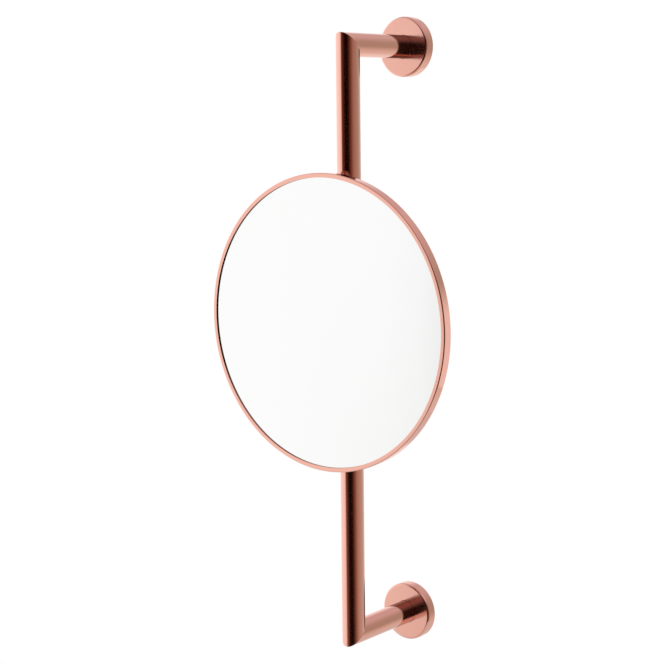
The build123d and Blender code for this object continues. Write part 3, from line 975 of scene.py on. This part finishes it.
# The same lower down, about 35 degrees below eye level
LOW_CARDS = [
    (-180, (0.9, 0.9, 0.9)),
    (-140, (1.0, 1.0, 1.0)),
    (-42, (1.0, 1.0, 1.0)),
    (-24, (0.3, 0.2, 0.16)),
    (5, (0.03, 0.005, 0.0)),
    (24, (0.0, 0.0, 0.0)),
    (42, (0.04, 0.008, 0.0)),
    (60, (0.2, 0.1, 0.07)),
    (100, (0.6, 0.5, 0.44)),
    (140, (0.72, 0.64, 0.58)),
    (180, (0.8, 0.8, 0.78)),
]
# Heights of a direction, from -1 straight down to 1 straight up, over which one part of the studio
# runs into the next
LEVEL_TO_LOW = (-0.05, -0.6)
LOW_TO_FLOOR = (-0.6, -0.85)
LEVEL_TO_CEILING = (0.25, 0.8)
FLOOR_GLOW = (0.93, 0.93, 0.93, 1.0)
CEILING_GLOW = (0.66, 0.56, 0.6, 1.0)
# Share of the studio's light that is left in a reflection of a reflection, and the ray depth above
# which a reflection is one
REPEATED_SHARE = 0.4
SINGLE_REFLECTION = 2.5
BLACK = (0.0, 0.0, 0.0, 1.0)
DIFFUSE_GLOW = (0.78, 0.78, 0.78, 1.0)
BACKGROUND = (1.0, 1.0, 1.0, 1.0)


def card_ramp(tree, turn, cards):
    """Colours round the room: (angle in degrees, colour) pairs, blended from each to the next."""
    ramp = add_node(tree, "ShaderNodeValToRGB", {"Fac": turn})
    stops = ramp.color_ramp.elements
    while len(stops) < len(cards):
        stops.new(0.5)
    for stop, (degrees, colour) in zip(stops, cards):
        stop.position = (degrees + 180) / 360
        stop.color = (*colour, 1.0)
    return ramp.outputs["Color"]


def height_blend(tree, height, start, end):
    """0 where a direction's height is at the start and 1 at the end, with a smooth run."""
    inputs = {"Value": height, "From Min": start, "From Max": end}
    blend = add_node(tree, "ShaderNodeMapRange", inputs, interpolation_type="SMOOTHSTEP")
    return blend.outputs["Result"]


def studio_world(scene):
    """Lights the scene from a studio painted on the world, by direction."""
    world = bpy.data.worlds.new("studio")
    world.use_nodes = True
    scene.world = world
    tree = world.node_tree
    tree.nodes.clear()
    direction = add_node(tree, "ShaderNodeTexCoord").outputs["Generated"]
    parts = add_node(tree, "ShaderNodeSeparateXYZ", {0: direction})
    to_room = add_node(tree, "ShaderNodeMath", {0: parts.outputs["Y"], 1: -1.0}, operation="MULTIPLY")
    angle = add_node(
        tree, "ShaderNodeMath", {0: parts.outputs["X"], 1: to_room.outputs[0]}, operation="ARCTAN2"
    )
    turn = add_node(tree, "ShaderNodeMapRange", {
        "Value": angle.outputs[0], "From Min": -math.pi, "From Max": math.pi
    })
    level = card_ramp(tree, turn.outputs["Result"], LEVEL_CARDS)
    low = card_ramp(tree, turn.outputs["Result"], LOW_CARDS)
    height = parts.outputs["Z"]
    studio = mixed(tree, height_blend(tree, height, *LEVEL_TO_LOW), level, low)
    studio = mixed(tree, height_blend(tree, height, *LOW_TO_FLOOR), studio, FLOOR_GLOW)
    studio = mixed(tree, height_blend(tree, height, *LEVEL_TO_CEILING), studio, CEILING_GLOW)
    path = add_node(tree, "ShaderNodeLightPath")
    depth = path.outputs["Ray Depth"]
    repeated = add_node(
        tree, "ShaderNodeMath", {0: depth, 1: SINGLE_REFLECTION}, operation="GREATER_THAN"
    )
    dimmed = add_node(
        tree, "ShaderNodeMath", {0: repeated.outputs[0], 1: 1 - REPEATED_SHARE}, operation="MULTIPLY"
    )
    studio = mixed(tree, dimmed.outputs[0], studio, BLACK)
    soft = mixed(tree, path.outputs["Is Glossy Ray"], DIFFUSE_GLOW, studio)
    seen = mixed(tree, path.outputs["Is Camera Ray"], soft, BACKGROUND)
    background = add_node(tree, "ShaderNodeBackground", {"Color": seen, "Strength": 1.0})
    add_node(tree, "ShaderNodeOutputWorld", {"Surface": background.outputs["Background"]})


PIECE_OPERATORS = (
    RAILMIRROR_OT_tubes,
    RAILMIRROR_OT_roses,
    RAILMIRROR_OT_casing,
    RAILMIRROR_OT_glass,
    RAILMIRROR_OT_slider,
    RAILMIRROR_OT_bushes,
    RAILMIRROR_OT_tilt_joint,
    RAILMIRROR_OT_hub,
    RAILMIRROR_OT_knob,
    RAILMIRROR_OT_fixings,
    RAILMIRROR_OT_stage,
)


class RAILMIRROR_PT_panel(bpy.types.Panel):
    """Lists the pieces and the sizes and colours they are made with"""

    bl_label = "Rail Mirror"
    bl_idname = "RAILMIRROR_PT_panel"
    bl_space_type = "VIEW_3D"
    bl_region_type = "UI"
    bl_category = "Rail Mirror"

    def draw(self, context):
        for operator in PIECE_OPERATORS:
            self.layout.operator(operator.bl_idname, text=operator.bl_label)
        for group in (
            context.scene.rail_mirror_sizes,
            context.scene.rail_mirror_colours,
            context.scene.rail_mirror_stage,
        ):
            for name in group.bl_rna.properties.keys():
                if name not in {"rna_type", "name"}:
                    self.layout.prop(group, name)


GROUPS = {
    "rail_mirror_sizes": RailMirrorSizes,
    "rail_mirror_colours": RailMirrorColours,
    "rail_mirror_stage": RailMirrorStage,
}


def register():
    """Registers the property groups, the operators and the panel."""
    for name, group in GROUPS.items():
        bpy.utils.register_class(group)
        setattr(bpy.types.Scene, name, bpy.props.PointerProperty(type=group))
    for entry in (*PIECE_OPERATORS, RAILMIRROR_PT_panel):
        bpy.utils.register_class(entry)


def unregister():
    """Takes back what register did."""
    for entry in (RAILMIRROR_PT_panel, *PIECE_OPERATORS):
        bpy.utils.unregister_class(entry)
    for name, group in GROUPS.items():
        delattr(bpy.types.Scene, name)
        bpy.utils.unregister_class(group)


def main():
    """Builds every piece and the stage."""
    register()
    bpy.ops.rail_mirror.tubes()
    bpy.ops.rail_mirror.roses()
    bpy.ops.rail_mirror.casing()
    bpy.ops.rail_mirror.glass()
    bpy.ops.rail_mirror.slider()
    bpy.ops.rail_mirror.bushes()
    bpy.ops.rail_mirror.tilt_joint()
    bpy.ops.rail_mirror.hub()
    bpy.ops.rail_mirror.knob()
    bpy.ops.rail_mirror.fixings()
    bpy.ops.rail_mirror.stage()


if __name__ == "__main__":
    main()
